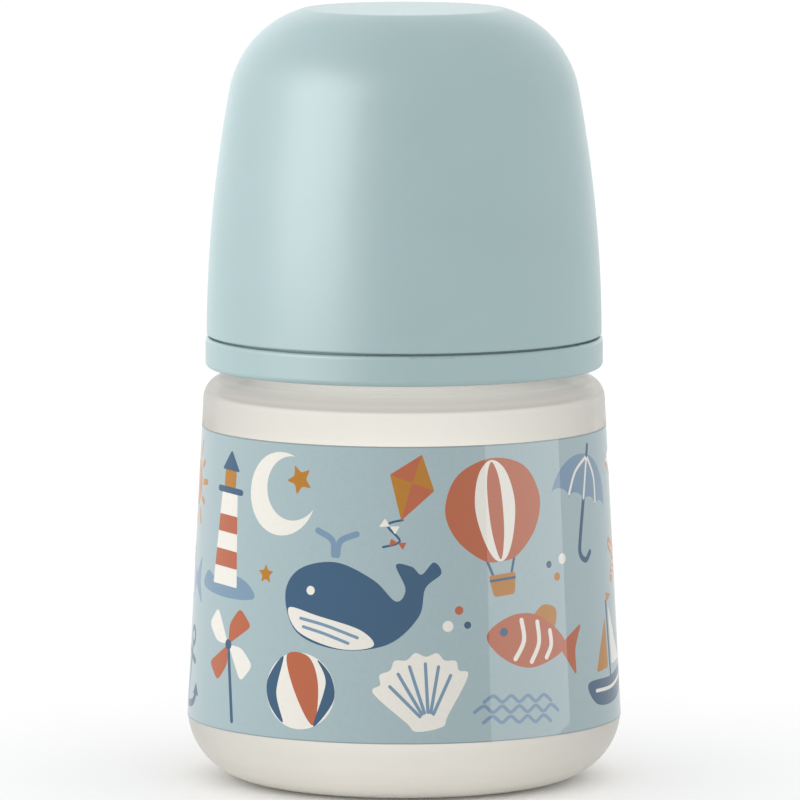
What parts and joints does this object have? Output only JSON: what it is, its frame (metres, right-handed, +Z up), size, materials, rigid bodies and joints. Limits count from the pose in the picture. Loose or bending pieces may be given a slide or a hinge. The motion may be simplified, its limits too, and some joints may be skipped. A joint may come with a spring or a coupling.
{
  "type": "baby bottle",
  "caption": "Small wide-neck feeding bottle: translucent body with a printed film, silicone teat, screw collar that clamps it, and a domed cap that lifts off.",
  "frame": {"origin": "on the bottle's axis, at the surface it stands on", "axes": "+Z up along the bottle's axis, towards the cap; -Y is the printed front, +Y the back, where the film is open"},
  "size_m": [0.066, 0.066, 0.117],
  "materials": {
    "bottle": "milky translucent polypropylene, satin",
    "film": "pale blue-grey printed film, clear gloss coat",
    "collar": "pale teal polypropylene, fine matte",
    "silicone": "clear milky silicone, satin",
    "cap": "pale teal polypropylene, fine matte"
  },
  "bodies": {
    "bottle": {"bottle_body": "bottle", "printed_film": "film"},
    "teat": {"teat": "silicone"},
    "collar": {"screw_collar": "collar"},
    "cap": {"cap": "cap"}
  },
  "joints": [
    {"name": "teat_lift", "type": "slide", "parent": "bottle", "child": "teat", "axis": [0, 0, 1], "range_m": [0, 0.0131]},
    {"name": "collar_turn", "type": "hinge", "parent": "teat", "child": "collar", "pos_m": [0, 0, 0.07], "axis": [0, 0, 1], "range_deg": [0, 780]},
    {"name": "cap_off", "type": "slide", "parent": "collar", "child": "cap", "axis": [0, 0, 1], "range_m": [0, 0.05]}
  ],
  "couplings": [
    {"joint": "teat_lift", "follows": "collar_turn", "m_per_rad": 0.00095493}
  ]
}
